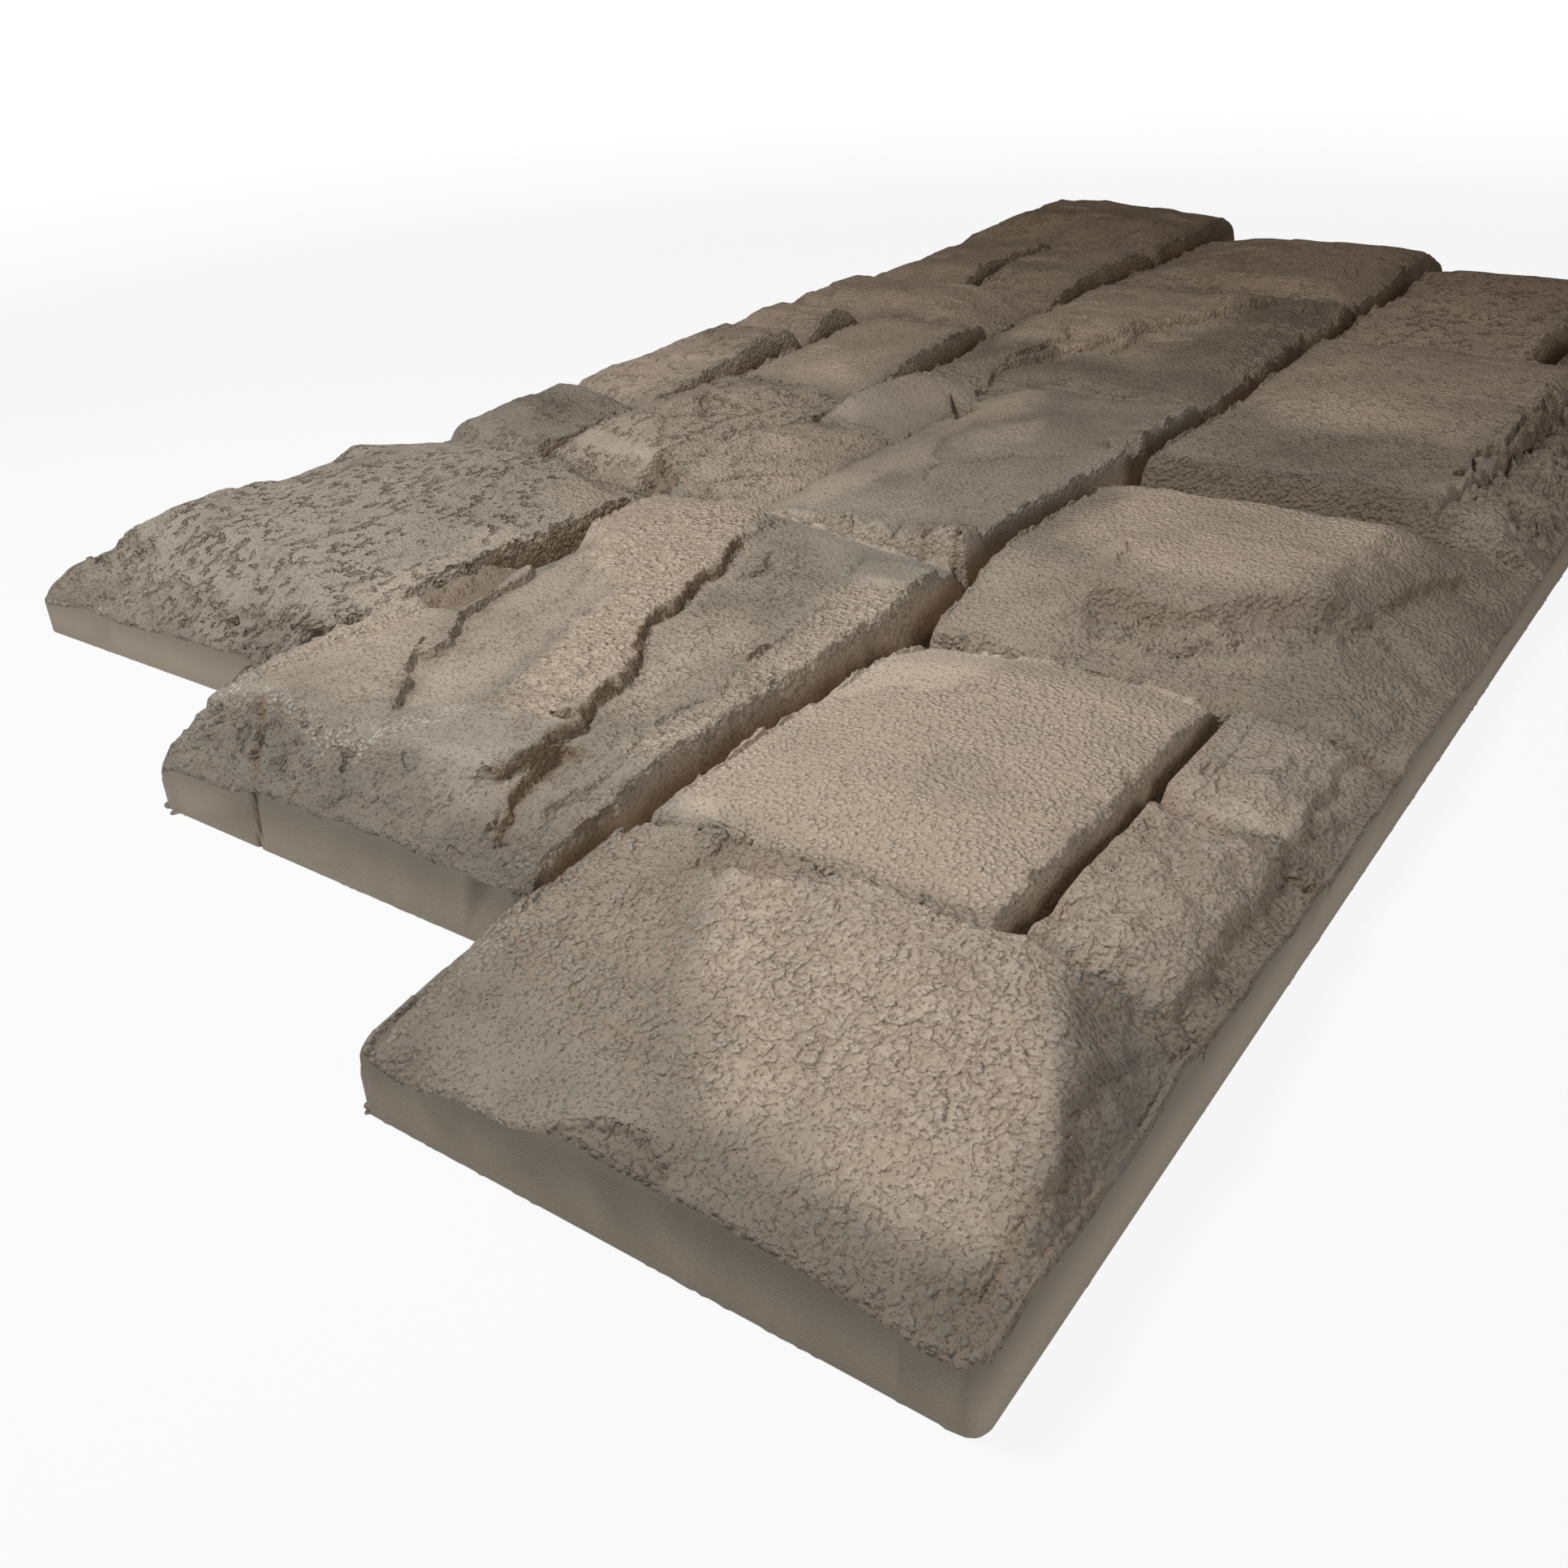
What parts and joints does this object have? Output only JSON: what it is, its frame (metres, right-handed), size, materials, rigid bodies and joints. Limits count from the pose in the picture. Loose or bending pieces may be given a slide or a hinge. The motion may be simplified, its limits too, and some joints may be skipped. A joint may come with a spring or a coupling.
{
  "type": "faux stone wall panel",
  "caption": "Moulded faux stone wall panel: staggered courses of split-faced stones on a flat backing, with stepped ends that interlock with the next panel.",
  "frame": {"origin": "middle of the flat back, under the centre of the panel's overall box", "axes": "+X along the courses, +Y across the courses from the lower edge to the upper edge, +Z out of the stone face"},
  "size_m": [1.2, 0.6, 0.05],
  "materials": {
    "stone_face": "matte mineral paint, grey with tan and brown washes"
  },
  "bodies": {
    "root": {"stone_panel": "stone_face"}
  },
  "joints": []
}
